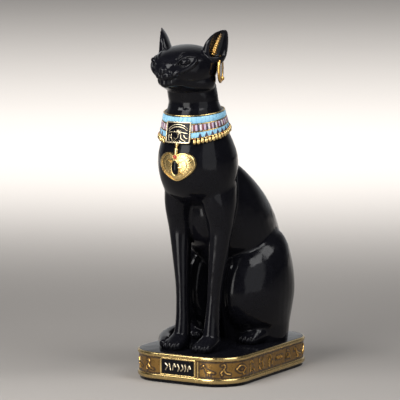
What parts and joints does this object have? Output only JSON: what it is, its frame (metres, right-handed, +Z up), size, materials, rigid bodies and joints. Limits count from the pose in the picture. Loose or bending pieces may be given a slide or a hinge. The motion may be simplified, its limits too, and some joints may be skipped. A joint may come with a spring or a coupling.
{
  "type": "cat figure",
  "caption": "Seated cat with upright ears, hoop earrings, beaded collar and winged heart pendant on a low plinth with a gilt frieze",
  "frame": {"origin": "middle of the plinth's underside", "axes": "+Z up, the cat looks along -Y, its left side is +X"},
  "size_m": [0.07, 0.121, 0.2018],
  "materials": {
    "black_resin": "glossy black lacquer over cast resin",
    "gilt": "worn gold paint with dark wash in the hollows",
    "turquoise": "satin turquoise enamel paint",
    "bead_paint": "satin paint in lavender, white, maroon and purple",
    "red_paint": "glossy red dots of paint"
  },
  "bodies": {
    "root": {"bastet_cat_figure": "black_resin"}
  },
  "joints": []
}
